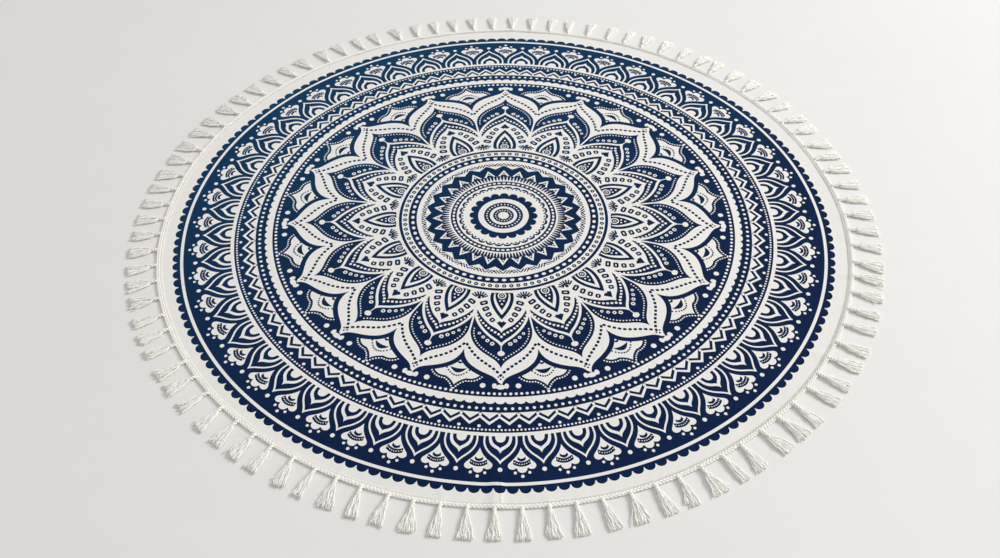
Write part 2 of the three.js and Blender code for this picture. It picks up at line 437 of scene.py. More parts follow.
def draw_fans(drawing):
    """A fan between each two petals, with a smile and dotted arcs."""
    hem = ogee([
        ((0.0690, 0.6270), (0.0665, 0.6450), (0.0480, 0.6550), (0.0310, 0.6530)),
        ((0.0310, 0.6530), (0.0195, 0.6580), (0.0080, 0.6660), (0.0, 0.6795)),
    ], 7)
    foot = [(-0.030, 0.60), (0.0, 0.575), (0.030, 0.60)]
    drawing.lay_round(COTTON, PETALS, hem + foot, BETWEEN)
    hem_dots = 26
    for x, y, _ in spaced(inset(hem, -0.0085), hem_dots):
        drawing.lay_round(COTTON, PETALS, circle(x, y, 0.0028, 6), BETWEEN)
    drawing.lay_round(NAVY, PETALS, crescent(0.6190, 0.0250, 0.0195, 0.0148, 10), BETWEEN)
    dots = 11
    for x, y in bow(0.6250, 0.0330, 0.0230, crosswise(dots - 1)):
        drawing.lay_round(NAVY, PETALS, circle(x, y, 0.0031, 6), BETWEEN)
    drawing.lay_round(NAVY, PETALS, crescent(0.5985, 0.0095, 0.0085, 0.0078, 4), BETWEEN)


def draw_petals(drawing):
    """The sixteen petals, the fans between them and the buds at their tips."""
    drawing.drift = (0.064, 0.0, math.radians(-1.05))
    draw_fans(drawing)
    edge, field, arch = petal_outlines()
    drawing.lay_round(NAVY, PETALS, inset(edge, -0.0148))
    drawing.lay_pairs(COTTON, PETALS, oval(0.0172, 0.6728, 0.0068, 0.0090, 12))
    drawing.lay_pairs(COTTON, PETALS, circle(0.0506, 0.6711, 0.0082, 12))
    drawing.lay_round(COTTON, PETALS, oval(0.0, 0.6765, 0.0140, 0.0082, 12))
    drawing.lay_round(COTTON, PETALS, edge)
    track = ogee([
        ((0.1040, 0.5170), (0.0900, 0.5480), (0.0750, 0.5710), (0.0500, 0.5910)),
        ((0.0500, 0.5910), (0.0330, 0.6040), (0.0130, 0.6200), (0.0, 0.6370)),
    ], 8)
    dashes, field_dots = 21, 16
    for x, y, angle in spaced(track, dashes, 0.01, 0.99):
        drawing.lay_round(NAVY, PETALS, bar(x, y, angle, 0.0102, 0.0082))
    drawing.lay_pairs(NAVY, PETALS, circle(0.0068, 0.6430, 0.0032, 6))
    drawing.lay_round(NAVY, PETALS, circle(0.0, 0.6500, 0.0032, 6))
    drawing.lay_round(NAVY, PETALS, field)
    foot_points, tip_clearance = 7, 0.002
    right_side = inset(field, 0.0095)[foot_points:len(field) // 2]
    beside = [point for point in right_side if point[0] > tip_clearance]
    for x, y, _ in spaced(beside, field_dots):
        drawing.lay_pairs(COTTON, PETALS, circle(x, y, 0.0026, 6))
    draw_petal_field(drawing, arch)
    draw_petal_arch(drawing, arch)
    draw_leaf(drawing)


def draw_petal_field(drawing, arch):
    """The stem with its bud, and the small rings that follow the pointed arch."""
    drawing.lay_round(COTTON, PETALS, bar(0.0, 0.5450, 0.0, 0.0280, 0.0030))
    drawing.lay_round(COTTON, PETALS, oval(0.0, 0.5607, 0.0109, 0.0092, 12))
    beside = inset(arch, -0.0130)
    rings, smallest, growth, hole = 4, 0.0050, 0.0006, 0.42
    for i, (x, y, _) in enumerate(spaced(beside[:len(beside) // 2], rings, 0.50, 0.94)):
        size = smallest + growth * i
        drawing.lay_pairs(COTTON, PETALS, circle(x, y, size, 10))
        drawing.lay_pairs(NAVY, PETALS, circle(x, y, hole * size, 7))


def draw_petal_arch(drawing, arch):
    """White line, navy band of beads, and the blocks round the leaf."""
    drawing.lay_round(COTTON, PETALS, arch)
    drawing.lay_round(NAVY, PETALS, inset(arch, 0.0080))
    beads = ogee([
        ((0.0775, 0.3980), (0.0745, 0.4260), (0.0585, 0.4470), (0.0370, 0.4695)),
        ((0.0370, 0.4695), (0.0230, 0.4830), (0.0070, 0.4880), (0.0, 0.5000)),
    ], 8)
    count, smallest, growth = 21, 0.0050, 0.0030
    for i, (x, y, angle) in enumerate(spaced(beads, count)):
        size = smallest + growth * math.sin(math.pi * (i + 0.5) / count)
        drawing.lay_round(COTTON, PETALS, bar(x, y, angle, size, size))
    inside = ogee([
        ((0.0745, 0.3870), (0.0680, 0.4165), (0.0550, 0.4330), (0.0370, 0.4530)),
        ((0.0370, 0.4530), (0.0235, 0.4670), (0.0070, 0.4710), (0.0, 0.4850)),
    ], 8)
    drawing.lay_round(COTTON, PETALS, inside)
    path = bezier(((0.0570, 0.3600), (0.0520, 0.3930), (0.0390, 0.4260), (0.0135, 0.4580)), 9)
    blocks, longest, shrinking, hole = 4, 0.0245, 0.0028, 0.42
    across = 0.47 * math.pi
    for i, (x, y, angle) in enumerate(spaced(path, blocks)):
        length = longest - shrinking * i
        drawing.lay_pairs(NAVY, PETALS, bar(x, y, angle + across, length, 0.0160))
        drawing.lay_pairs(COTTON, PETALS, bar(x, y, angle + across, hole * length, 0.0036))
    roof = [(0.0150, 0.4480), (0.0, 0.4690), (-0.0150, 0.4480), (-0.0050, 0.4420), (0.0, 0.4460),
            (0.0050, 0.4420)]
    drawing.lay_round(NAVY, PETALS, roof)


def draw_leaf(drawing):
    """The leaf in each petal, with its heart and rings, and a palmette between each two leaves."""
    leaf = ogee([((0.0330, 0.3320), (0.0425, 0.3600), (0.0295, 0.3980), (0.0, 0.4360))], 12)
    drawing.lay_round(NAVY, PETALS, leaf)
    drawing.lay_round(COTTON, PETALS, inset(leaf, 0.0104))
    heart = ogee([((0.0190, 0.3330), (0.0235, 0.3570), (0.0130, 0.3770), (0.0, 0.4000))], 9)
    drawing.lay_round(NAVY, PETALS, heart)
    for ink, radius in ((COTTON, 0.0136), (NAVY, 0.0098), (COTTON, 0.0054), (NAVY, 0.0032)):
        drawing.lay_round(ink, PETALS, circle(0.0, 0.3440, radius, 12))
    drawing.lay_pairs(COTTON, PETALS, circle(0.0058, 0.3640, 0.0032, 6))
    drawing.lay_round(COTTON, PETALS, circle(0.0, 0.3765, 0.0036, 6))
    rays, spread, foot, reach = 7, math.radians(19), 0.3615, 0.0205
    for i in range(rays):
        angle = spread * (i - (rays - 1) / 2)
        x, y = reach * math.sin(angle), foot - reach * math.cos(angle)
        drawing.lay_round(NAVY, PETALS, bar(x, y, -angle, 0.0190, 0.0052), BETWEEN)
    drawing.lay_round(NAVY, PETALS, circle(0.0, 0.3560, 0.0060, 8), BETWEEN)


def draw_crown(drawing):
    """The rings between the petals and the middle."""
    drawing.drift = (0.055, 0.0, 0.0)
    drawing.disc(NAVY, 0.3240, 240)
    drawing.disc(COTTON, 0.3148, 240)
    drawing.lay_round(NAVY, SMALL_RINGS, oval(0, 0.3050, 0.0070, 0.0068, 9))
    drawing.lay_round(COTTON, SMALL_RINGS, circle(0, 0.3050, 0.0023, 6))
    drawing.drift = (0.02, 0.0, 0.0)
    drawing.disc(NAVY, 0.2940, 240)
    drawing.lay_round(COTTON, CROWN_OVALS, oval(0, 0.2808, 0.0070, 0.0052, 10))
    drawing.disc(COTTON, 0.2690, 240)
    drawing.drift = (0.06, 0.0, math.radians(-0.75))
    drawing.star(NAVY, PEAKS, 0.2255, 0.2440)
    strokes, first, step, slant = 3, 0.0062, 0.0092, math.radians(-38)
    for i in range(strokes):
        drawing.lay_pairs(NAVY, PEAKS, bar(first + step * i, 0.2470, slant, 0.0180, 0.0040))
    shoulder, point = 0.3, 0.0085
    for ink, half, low, tip in ((COTTON, 0.0172, 0.1900, 0.2200), (NAVY, 0.0124, 0.1870, 0.2100)):
        right = [(half, low), (shoulder * half, tip - point)]
        left = [(-x, y) for x, y in reversed(right)]
        drawing.lay_round(ink, PEAKS, right + [(0.0, tip)] + left)
    drawing.lay_round(COTTON, PEAKS, oval(0.0, 0.1995, 0.0032, 0.0026, 6))
    bristle = [(0.0034, 0.1640), (0.0, 0.1910), (-0.0034, 0.1640)]
    drawing.lay_round(COTTON, 4 * PEAKS, bristle)


def draw_middle(drawing):
    """The innermost rings: a row of ovals, lace, a bumpy wheel and two rows of beads."""
    drawing.drift = (0.02, 0.0, math.radians(-1.0))
    drawing.disc(COTTON, 0.1690, 180)
    drawing.disc(NAVY, 0.1635, 180)
    drawing.lay_round(COTTON, MIDDLE_OVALS, oval(0, 0.1545, 0.0056, 0.0040, 9))
    drawing.disc(COTTON, 0.1450, 180)
    drawing.scalloped(NAVY, LACE_LOBES, 0.1300, 0.1392)
    drawing.scalloped(COTTON, LACE_LOBES, 0.1238, 0.1318)
    drawing.lay_round(NAVY, LACE_LOBES, circle(0, 0.1272, 0.0034, 6), BETWEEN)
    drawing.drift = (0.0, 0.0, math.radians(-1.9) + math.pi / BUMPS)
    drawing.scalloped(NAVY, BUMPS, 0.0925, 0.1060, 8)
    drawing.disc(COTTON, 0.0785, 120)
    drawing.disc(NAVY, 0.0605, 120)
    drawing.lay_round(COTTON, LARGE_RING_BEADS, circle(0, 0.0516, 0.0029, 7))
    drawing.disc(COTTON, 0.0424, 96)
    drawing.disc(NAVY, 0.0322, 96)
    drawing.lay_round(COTTON, SMALL_RING_BEADS, circle(0, 0.0246, 0.0023, 7))
    drawing.scalloped(COTTON, HEART_LOBES, 0.0148, 0.0174)


def drawn_print():
    drawing = Drawing()
    for draw in (draw_edge, draw_arches, draw_flowers, draw_zigzag, draw_bead_rows, draw_petals,
                 draw_crown, draw_middle):
        draw(drawing)
    return drawing


# Meshes
SHORTEST_SIDE = 1e-9
MERGE_WITHIN = 1e-7
FEWEST_RING_POINTS = 6


def values_of(items, key, size=1, kind=float):
    """One attribute of all a mesh's vertices, loops or faces, as one array."""
    values = np.empty(len(items) * size, dtype=kind)
    items.foreach_get(key, values)
    return values


def new_piece(name, points, faces, materials, face_materials=None, smooth=True):
    mesh = bpy.data.meshes.new(name)
    mesh.from_pydata(points, [], faces)
    for material in materials:
        mesh.materials.append(material)
    if face_materials is not None:
        mesh.polygons.foreach_set("material_index", face_materials)
    mesh.polygons.foreach_set("use_smooth", [smooth] * len(faces))
    mesh.update()
    piece = bpy.data.objects.new(name, mesh)
    bpy.context.scene.collection.objects.link(piece)
    return piece


def dress(piece, node):
    """Hands a piece over: it stands for the node and rides with it."""
    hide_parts(node)
    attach(piece, "root")


class Tubes:
    """Many thin tubes gathered into one mesh."""

    def __init__(self, sides):
        self.sides = sides
        self.points = []
        self.faces = []
        self.count = 0

    def add(self, paths, radius, closed=False):
        """Adds one tube for each path; paths is an array of tube, station and axis."""
        ahead = np.roll(paths, -1, axis=1) - np.roll(paths, 1, axis=1)
        if not closed:
            ahead[:, 0] = paths[:, 1] - paths[:, 0]
            ahead[:, -1] = paths[:, -1] - paths[:, -2]
        ahead /= np.linalg.norm(ahead, axis=2, keepdims=True)
        side = np.cross(ahead, UP)
        side /= np.maximum(np.linalg.norm(side, axis=2, keepdims=True), SHORTEST_SIDE)
        above = np.cross(side, ahead)
        turns = (TURN * np.arange(self.sides) / self.sides)[:, None]
        ring = np.cos(turns) * side[:, :, None] + np.sin(turns) * above[:, :, None]
        points = paths[:, :, None] + ring * radius

        tubes, rows = paths.shape[:2]
        tube = np.arange(tubes)[:, None, None]
        row = np.arange(rows if closed else rows - 1)[None, :, None]
        column = np.arange(self.sides)[None, None, :]
        here = (tube * rows + row) * self.sides
        there = (tube * rows + (row + 1) % rows) * self.sides
        beside = (column + 1) % self.sides
        corners = (here + column, there + column, there + beside, here + beside)
        quads = np.stack(np.broadcast_arrays(*corners), axis=-1)
        self.faces.extend((quads.reshape(-1, 4) + self.count).tolist())
        if not closed:
            for i in range(tubes):
                start = self.count + i * rows * self.sides
                end = start + (rows - 1) * self.sides
                self.faces.append([start + j for j in range(self.sides)])
                self.faces.append([end + j for j in reversed(range(self.sides))])
        self.points.append(points.reshape(-1, 3))
        self.count += tubes * rows * self.sides

    def piece(self, name, material):
        return new_piece(name, np.concatenate(self.points), self.faces, [material])


def triangulated(points, outlines):
    """Triangles inside the first outline, each with the topmost outline that covers it.

    Also gives where each point of the first outline is found among the triangles' points.
    """
    flat_points, _, triangles, sources, _, covers = delaunay_2d_cdt(
        [Vector(p) for p in points], [], outlines, 0, MERGE_WITHIN, True)
    kept = [(triangle, max(cover)) for triangle, cover in zip(triangles, covers) if 0 in cover]
    used = sorted({index for triangle, _ in kept for index in triangle})
    flat = np.array([flat_points[index][:] for index in used])
    renumbered = {index: i for i, index in enumerate(used)}
    faces = [[renumbered[index] for index in triangle] for triangle, _ in kept]
    tops = [top for _, top in kept]
    found = {source: i for i, index in enumerate(used) for source in sources[index]}
    rim = [found[source] for source in outlines[0]]
    return flat, faces, tops, rim


def ring_points(bands):
    """Loose points on rings, each second ring turned by half the space between its points."""
    rings = [(radius, spacing) for first, last, step, spacing in bands
             for radius in np.arange(first, last, step)]
    points = []
    for i, (radius, spacing) in enumerate(rings):
        count = max(FEWEST_RING_POINTS, round(TURN * radius / spacing))
        points += [polar(radius, TURN * (k + 0.5 * (i % 2)) / count) for k in range(count)]
    return points


# Roughness and shine of each finish
COTTON_FINISH = (0.92, 0.15)
PRINT_FINISH = (0.85, 0.05)
YARN_FINISH = (0.9, 0.15)
FLOOR_FINISH = (0.6, 0.25)

# The weave: how high its threads, crossings and slubs stand, its painted shade of dark gaps and
# light thread tops, and its bump's strength and depth. A noise is given as its scale and detail.
THREAD_HEIGHT = 0.35
CROSSING_HEIGHT = 0.3
SLUB_NOISE = (260.0, 3.0)
GAP_SHADE = 0.86
THREAD_SHADE = 0.20
WEAVE_BUMP = (0.35, 0.15 * MM)

# How mottled each finish is
MOTTLE_DETAIL = 4.0
COTTON_MOTTLE = 0.08
PRINT_MOTTLE = 0.25
YARN_MOTTLE = {"Broad scale": 25.0, "Fine scale": 400.0}
FLOOR_MOTTLE = {"Broad scale": 1.5, "Fine scale": 14.0, "Strength": 0.03}

# The print turns to its lighter blue by this much a metre to the right and away, which is a
# painted sheen, and in soft clouds of uneven dye
SHEEN_PER_METRE = {"X": -0.40, "Y": 0.75}
CLOUD_NOISE = (4.0, 3.0)
CLOUD_SHARE = 0.5

# How light sinks into yarn, its fibres' bump, and each trim's fibres a metre and mottle
YARN_DEPTH = {
    "Subsurface Weight": 0.4,
    "Subsurface Radius": (1.0, 0.95, 0.85),
    "Subsurface Scale": 1.5 * MM,
}
FIBRE_DETAIL = 2.0
YARN_BUMP = (0.5, 0.2 * MM)
BRAID_YARN = (1500.0, 0.12)
LOOP_YARN = (2000.0, 0.05)
TASSEL_YARN = (1200.0, 0.14)


# Shader effects used by more than one material
def node_group(name, inputs, outputs):
    group = bpy.data.node_groups.new(name, "ShaderNodeTree")
    for socket_name, value in inputs:
        socket = group.interface.new_socket(
            socket_name, in_out="INPUT", socket_type="NodeSocketFloat")
        socket.default_value = value
    for socket_name in outputs:
        group.interface.new_socket(socket_name, in_out="OUTPUT", socket_type="NodeSocketFloat")
    return group, group.nodes.new("NodeGroupInput"), group.nodes.new("NodeGroupOutput")


def feed(tree, socket, value):
    """Sets a socket to a number or a colour, or links it to another socket."""
    if isinstance(value, bpy.types.NodeSocket):
        tree.links.new(value, socket)
    else:
        socket.default_value = value


def math_node(tree, operation, *values, clamp=False):
    node = tree.nodes.new("ShaderNodeMath")
    node.operation = operation
    node.use_clamp = clamp
    for socket, value in zip(node.inputs, values):
        feed(tree, socket, value)
    return node.outputs[0]


def noise_node(tree, place, scale, detail):
    noise = tree.nodes.new("ShaderNodeTexNoise")
    noise.inputs["Detail"].default_value = detail
    tree.links.new(place, noise.inputs["Vector"])
    feed(tree, noise.inputs["Scale"], scale)
    return noise.outputs["Fac"]


def split_place(tree):
    """The object's own coordinates, whole and split by axis."""
    place = tree.nodes.new("ShaderNodeTexCoord").outputs["Object"]
    split = tree.nodes.new("ShaderNodeSeparateXYZ")
    tree.links.new(place, split.inputs[0])
    return place, split.outputs


def plain_weave_group():
    """Crossing threads: a height for bump and a painted shade that darkens the gaps between threads and
    lightens their tops.
    """
    group, given, result = node_group(
        "Plain weave", [("Threads per metre", 1800.0), ("Slub", 0.35)], ["Height", "Shade"])
    place, split = split_place(group)
    waves = []
    for axis in ("X", "Y"):
        way = math_node(group, "MULTIPLY", split[axis], given.outputs["Threads per metre"])
        waves.append(math_node(group, "SINE", math_node(group, "MULTIPLY", way, math.pi)))
    warp, weft = (math_node(group, "ABSOLUTE", wave) for wave in waves)
    threads = math_node(group, "MULTIPLY", math_node(group, "ADD", warp, weft), THREAD_HEIGHT)
    over = math_node(group, "MULTIPLY", *waves)
    crossings = math_node(group, "MULTIPLY", over, CROSSING_HEIGHT)
    height = math_node(group, "ADD", threads, crossings)
    slub = math_node(group, "MULTIPLY", noise_node(group, place, *SLUB_NOISE), given.outputs["Slub"])
    group.links.new(math_node(group, "ADD", height, slub), result.inputs["Height"])
    # Painted shade: darker in the gaps between threads and lighter on their tops, from their height
    shade = math_node(group, "ADD", math_node(group, "MULTIPLY", height, THREAD_SHADE), GAP_SHADE)
    group.links.new(shade, result.inputs["Shade"])
    return group


def mottle_group():
    """Soft broad and fine variation round 1, as in dyed or washed cotton."""
    group, given, result = node_group(
        "Cotton mottle",
        [("Broad scale", 3.0), ("Fine scale", 90.0), ("Strength", 0.08)],
        ["Shade"],
    )
    place = group.nodes.new("ShaderNodeTexCoord").outputs["Object"]
    broad, fine = (noise_node(group, place, given.outputs[key], MOTTLE_DETAIL)
                   for key in ("Broad scale", "Fine scale"))
    both = math_node(group, "SUBTRACT", math_node(group, "ADD", broad, fine), 1.0)
    swing = math_node(group, "MULTIPLY", both, given.outputs["Strength"])
    group.links.new(math_node(group, "ADD", swing, 1.0), result.inputs["Shade"])
    return group


def placed_group(material, maker, values):
    """Places a node group, built once, in a material with the material's own values."""
    name = maker.__name__
    if name not in bpy.data.node_groups:
        maker().name = name
    node = material.node_tree.nodes.new("ShaderNodeGroup")
    node.node_tree = bpy.data.node_groups[name]
    for key, value in values.items():
        node.inputs[key].default_value = value
    return node


def scaled_colour(tree, colour, shade):
    """A colour, or a linked colour, times a shade."""
    scale = tree.nodes.new("ShaderNodeVectorMath")
    scale.operation = "SCALE"
    feed(tree, scale.inputs[0], colour)
    tree.links.new(shade, scale.inputs["Scale"])
    return scale.outputs["Vector"]


def matt_material(name, finish):
    """A material with the roughness and shine of a finish, and its shader."""
    material = bpy.data.materials.new(name)
    material.use_nodes = True
    shader = material.node_tree.nodes["Principled BSDF"]
    shader.inputs["Roughness"].default_value, shader.inputs["Specular IOR Level"].default_value = finish
    return material, shader


def add_bump(tree, shader, height, bump_values):
    bump = tree.nodes.new("ShaderNodeBump")
    bump.inputs["Strength"].default_value, bump.inputs["Distance"].default_value = bump_values
    tree.links.new(height, bump.inputs["Height"])
    tree.links.new(bump.outputs["Normal"], shader.inputs["Normal"])


def add_weave(material, shader, colour, mottle_strength):
    """Darkens a colour by the weave's painted shade and by the mottle, and raises the threads."""
    tree = material.node_tree
    weave = placed_group(material, plain_weave_group, {})
    mottle = placed_group(material, mottle_group, {"Strength": mottle_strength})
    shade = math_node(tree, "MULTIPLY", weave.outputs["Shade"], mottle.outputs["Shade"])
    tree.links.new(scaled_colour(tree, colour, shade), shader.inputs["Base Color"])
    add_bump(tree, shader, weave.outputs["Height"], WEAVE_BUMP)


def cotton_material(colour):
    """Unprinted plain-woven cotton."""
    material, shader = matt_material("Natural cotton", COTTON_FINISH)
    add_weave(material, shader, colour, COTTON_MOTTLE)
    return material


def navy_material(colour, sheen_and_dye_blue):
    """Printed cotton, going from one blue to a lighter one across the cloth: a painted sheen towards the
    left and the far side, and soft clouds of uneven dye.
    """
    material, shader = matt_material("Navy print", PRINT_FINISH)
    tree = material.node_tree
    place, split = split_place(tree)
    slopes = [math_node(tree, "MULTIPLY", split[axis], lightening) for axis, lightening in SHEEN_PER_METRE.items()]
    clouds = math_node(tree, "MULTIPLY", noise_node(tree, place, *CLOUD_NOISE), CLOUD_SHARE)
    # Painted sheen: the steady slope across the cloth lightens the blue where light glanced off it; the
    # noise clouds are uneven dye
    lightening = math_node(tree, "ADD", math_node(tree, "ADD", *slopes), clouds, clamp=True)
    mix = tree.nodes.new("ShaderNodeMix")
    mix.data_type = "RGBA"
    for socket, value in zip([s for s in mix.inputs if s.type == "RGBA"], (colour, sheen_and_dye_blue)):
        socket.default_value = (*value, 1.0)
    tree.links.new(lightening, mix.inputs["Factor"])
    blend = [socket for socket in mix.outputs if socket.type == "RGBA"][0]
    add_weave(material, shader, blend, PRINT_MOTTLE)
    return material


def yarn_material(name, colour, fibre_scale, mottle_strength):
    """Loose cotton, into which light sinks a little way."""
    material, shader = matt_material(name, YARN_FINISH)
    for key, value in YARN_DEPTH.items():
        shader.inputs[key].default_value = value
    tree = material.node_tree
    mottle = placed_group(material, mottle_group, {**YARN_MOTTLE, "Strength": mottle_strength})
    shade = mottle.outputs["Shade"]
    tree.links.new(scaled_colour(tree, colour, shade), shader.inputs["Base Color"])
    place = tree.nodes.new("ShaderNodeTexCoord").outputs["Object"]
    add_bump(tree, shader, noise_node(tree, place, fibre_scale, FIBRE_DETAIL), YARN_BUMP)
    return material


# Sizes and colours that a user would change
def length_setting(name, default, description):
    return bpy.props.FloatProperty(name=name, description=description, default=default, unit="LENGTH")


def colour_setting(name, default, description):
    return bpy.props.FloatVectorProperty(
        name=name, description=description, default=default, subtype="COLOR")


class ClothSettings(bpy.types.PropertyGroup):
    thickness: length_setting("Thickness", 1.5 * MM, "Thickness of the cloth")
    print_radius: length_setting("Print radius", 724 * MM, "Radius of the print's scalloped edge")
    print_centre: bpy.props.FloatVectorProperty(
        name="Print centre", description="Where the print's middle lies on the cloth",
        size=2, default=(-3.6 * MM, -6.5 * MM), unit="LENGTH")
    ripple: length_setting("Ripple", 0.5 * MM, "Height of the puckers beside the braid")
    cotton: colour_setting("Cotton", (0.90, 0.88, 0.83), "Colour of the unprinted cloth")
    navy: colour_setting("Navy", (0.005, 0.018, 0.064), "Colour of the print")
    # The print's lighter blue: a painted sheen towards the left and the far side, and uneven dye in soft
    # clouds
    sheen_and_dye_blue: colour_setting(
        "Sheen and dye blue", (0.006, 0.054, 0.130), "Colour of the print where its dye is lighter")


class TrimSettings(bpy.types.PropertyGroup):
    braid_width: length_setting("Braid width", 9 * MM, "Width of the plaited braid")
    plait_length: length_setting("Plait length", 21 * MM, "Length of one turn of the plait")
    yarns: bpy.props.IntProperty(
        name="Yarns", description="Yarn ends in each tassel", default=38)
    yarn_radius: length_setting("Yarn radius", 1.0 * MM, "Half the thickness of a tassel's yarn")
    natural: colour_setting("Natural", (1.0, 0.965, 0.88), "Colour of the trim's cotton")


class StageSettings(bpy.types.PropertyGroup):
    floor: colour_setting("Floor", (0.84, 0.83, 0.80), "Colour of the floor")
    window: bpy.props.FloatProperty(
        name="Window", description="Power of the large soft light", default=545.0, unit="POWER")
    sky: bpy.props.FloatProperty(
        name="Sky", description="Strength of the even light from all round", default=0.56)


class TABLECLOTH_OT_cloth(bpy.types.Operator):
    """Build the printed cloth as one closed sheet"""
    bl_idname = "tablecloth.cloth"
    bl_label = "Printed cloth"

    EDGE_POINTS = 960
    # The ironed fold that shows on the near side
    FOLD_ANGLE = math.radians(-1.0)
    FOLD_START = 0.80
    FOLD_FULL = 0.92
    FOLD_HALF_WIDTH = 2.0 * MM
    FOLD_HEIGHT = 1.7 * MM

    # Puckers of the hem: how many go round, how far and how often they crowd, where they start,
    # how far in they reach and how strong they are
    PUCKERS = ((190, 3.0, 17, 0.0, 6 * MM, 1.0), (67, 2.5, 9, 1.0, 20 * MM, 0.6))
    # Soft waves of the whole face: their steps a metre across and along, and where they start
    SOFT_WAVES = ((23, 11, 1), (-17, 29, 2), (41, -7, 0))
    SOFT_HEIGHT = 0.15 * MM

    # Rings of loose points: first and last radius, step between rings, space along a ring
    FACE_RINGS = (
        (0.03, 0.60, 0.024, 0.024),
        (0.60, 0.725, 0.010, 0.010),
        (0.725, 0.752, 0.0065, 0.007),
    )
    UNDER_RINGS = ((0.05, 0.62, 0.05, 0.05), (0.62, 0.745, 0.02, 0.02))
    # Points over a crease or the fold: their step along it and their places in half widths
    CREASE_POINTS = (6 * MM, (-1.8, -1.2, -0.7, -0.3, 0, 0.3, 0.7, 1.2, 1.8))
    FOLD_POINTS = (4 * MM, (-4, -2, -1, -0.4, 0, 0.4, 1, 2, 4))
    EDGE_MARGIN = 3 * MM
    SLOPE_STEP = 0.5 * MM

    # The map: its width in cloth radii, and where the rim's strip lies in its own part
    MAP_WIDTH = 2.04
    RIM_START, RIM_LENGTH = 0.01, 0.98
    RIM_LOW, RIM_HEIGHT = 0.4, 0.2

    def face_height(self, x, y, settings):
        """Height of the face over the table."""
        radius, angle = radius_and_angle(x, y)
        from_edge = np.maximum(edge_radius(angle) - radius, 0)
        hem = np.zeros_like(radius)
        for count, crowd, often, start, reach, strength in self.PUCKERS:
            wave = np.sin(count * angle + crowd * np.sin(often * angle) + start)
            hem += strength * (1 + wave) / 2 * np.exp(-from_edge / reach)
        drift = sum(np.sin(a * x + b * y + start) for a, b, start in self.SOFT_WAVES)
        across = radius * np.sin(angle - self.FOLD_ANGLE) / self.FOLD_HALF_WIDTH
        along = smoothstep(radius / CLOTH_RADIUS, self.FOLD_START, self.FOLD_FULL)
        fold = self.FOLD_HEIGHT * along * (np.cos(angle) > 0) * np.exp(-np.abs(across))
        return (lift(radius, angle) + settings.thickness + settings.ripple * hem + fold
                + self.SOFT_HEIGHT * drift)

    def loose_points(self):
        """Points that let the flat face follow its soft unevenness."""
        points = ring_points(self.FACE_RINGS)
        ridges = [(tassel_angle(tassel), start, half_width, *self.CREASE_POINTS)
                  for tassel, start, half_width, _ in CREASES]
        ridges.append((self.FOLD_ANGLE, self.FOLD_START, self.FOLD_HALF_WIDTH, *self.FOLD_POINTS))
        for angle, start, half_width, step, places in ridges:
            for radius in np.arange(start * CLOTH_RADIUS, CLOTH_RADIUS - self.EDGE_MARGIN, step):
                points += [polar(radius, angle + place * half_width / radius) for place in places]
        return points

    def printed_points(self, drawing, settings):
        """The drawing's points, at their size and place on the cloth."""
        plane = np.array(drawing.points) * settings.print_radius
        return [tuple(point) for point in plane + np.array(settings.print_centre)]

    def execute(self, context):
        settings = context.scene.tablecloth_cloth
        drawing = drawn_print()
        edge_angles = TURN * np.arange(self.EDGE_POINTS) / self.EDGE_POINTS
        edge = list(zip(*polar(edge_radius(edge_angles), edge_angles)))
        first = len(edge)
        outlines = [list(range(first))]
        outlines += [[first + index for index in outline] for outline in drawing.outlines]
        inks = [COTTON] + drawing.inks
        points = edge + self.printed_points(drawing, settings) + self.loose_points()
        flat, faces, tops, top_rim = triangulated(points, outlines)
        face = np.column_stack([flat, self.face_height(flat[:, 0], flat[:, 1], settings)])
        colours = [inks[top] for top in tops]

        under_points = edge + ring_points(self.UNDER_RINGS)
        under_flat, under_faces, _, under_rim = triangulated(under_points, outlines[:1])
        under = np.column_stack([under_flat, lift(*radius_and_angle(*under_flat.T))])

        base = len(face)
        faces += [[base + index for index in reversed(triangle)] for triangle in under_faces]
        for i in range(first):
            ahead = (i + 1) % first
            faces.append([base + under_rim[i], base + under_rim[ahead], top_rim[ahead], top_rim[i]])
        colours += [COTTON] * (len(faces) - len(colours))
        materials = [cotton_material(settings.cotton), navy_material(settings.navy, settings.sheen_and_dye_blue)]
        piece = new_piece("printed_cloth", np.concatenate([face, under]), faces, materials, colours)
        self.set_normals(piece, base, settings)
        self.lay_out(piece, base)
        dress(piece, "cloth")
        return {"FINISHED"}

    def set_normals(self, piece, base, settings):
        """Smooth normals from the height itself, free of the print's thin triangles."""
        mesh = piece.data
        x, y, _ = values_of(mesh.vertices, "co", 3).reshape(-1, 3).T
        slopes = []
        for dx, dy in ((self.SLOPE_STEP, 0), (0, self.SLOPE_STEP)):
            behind = self.face_height(x - dx, y - dy, settings)
            ahead = self.face_height(x + dx, y + dy, settings)
            slopes.append((behind - ahead) / (2 * self.SLOPE_STEP))
        normals = np.column_stack([*slopes, np.ones_like(x)])
        normals[base:] = (0.0, 0.0, -1.0)
        normals /= np.linalg.norm(normals, axis=1)[:, None]
        mesh.normals_split_custom_set_from_vertices(normals.tolist())

    def lay_out(self, piece, base):
        """Flattens the sheet for baking: each ink of the face in its own part of the map."""
        mesh = piece.data
        layer = mesh.uv_layers.new(name="OFBake")
        corners = values_of(mesh.loops, "vertex_index", kind=np.int32)
        places = values_of(mesh.vertices, "co", 3).reshape(-1, 3)[corners]
        sizes = values_of(mesh.polygons, "loop_total", kind=np.int32)
        inks = values_of(mesh.polygons, "material_index", kind=np.int32)
        lowest = np.minimum.reduceat(corners, np.cumsum(sizes) - sizes)
        rim = np.repeat(sizes == 4, sizes)
        beside = rim | np.repeat(inks == NAVY, sizes)
        above = rim | np.repeat(lowest >= base, sizes)
        share = 0.5 + places[:, :2] / (self.MAP_WIDTH * CLOTH_RADIUS)
        _, angle = radius_and_angle(*places[rim, :2].T)
        share[rim, 0] = (angle / TURN % 1.0) * self.RIM_LENGTH + self.RIM_START
        share[rim, 1] = self.RIM_LOW + self.RIM_HEIGHT * (corners[rim] < base)
        uv = (share + np.column_stack([beside, above])) / 2
        layer.data.foreach_set("uv", uv.ravel())


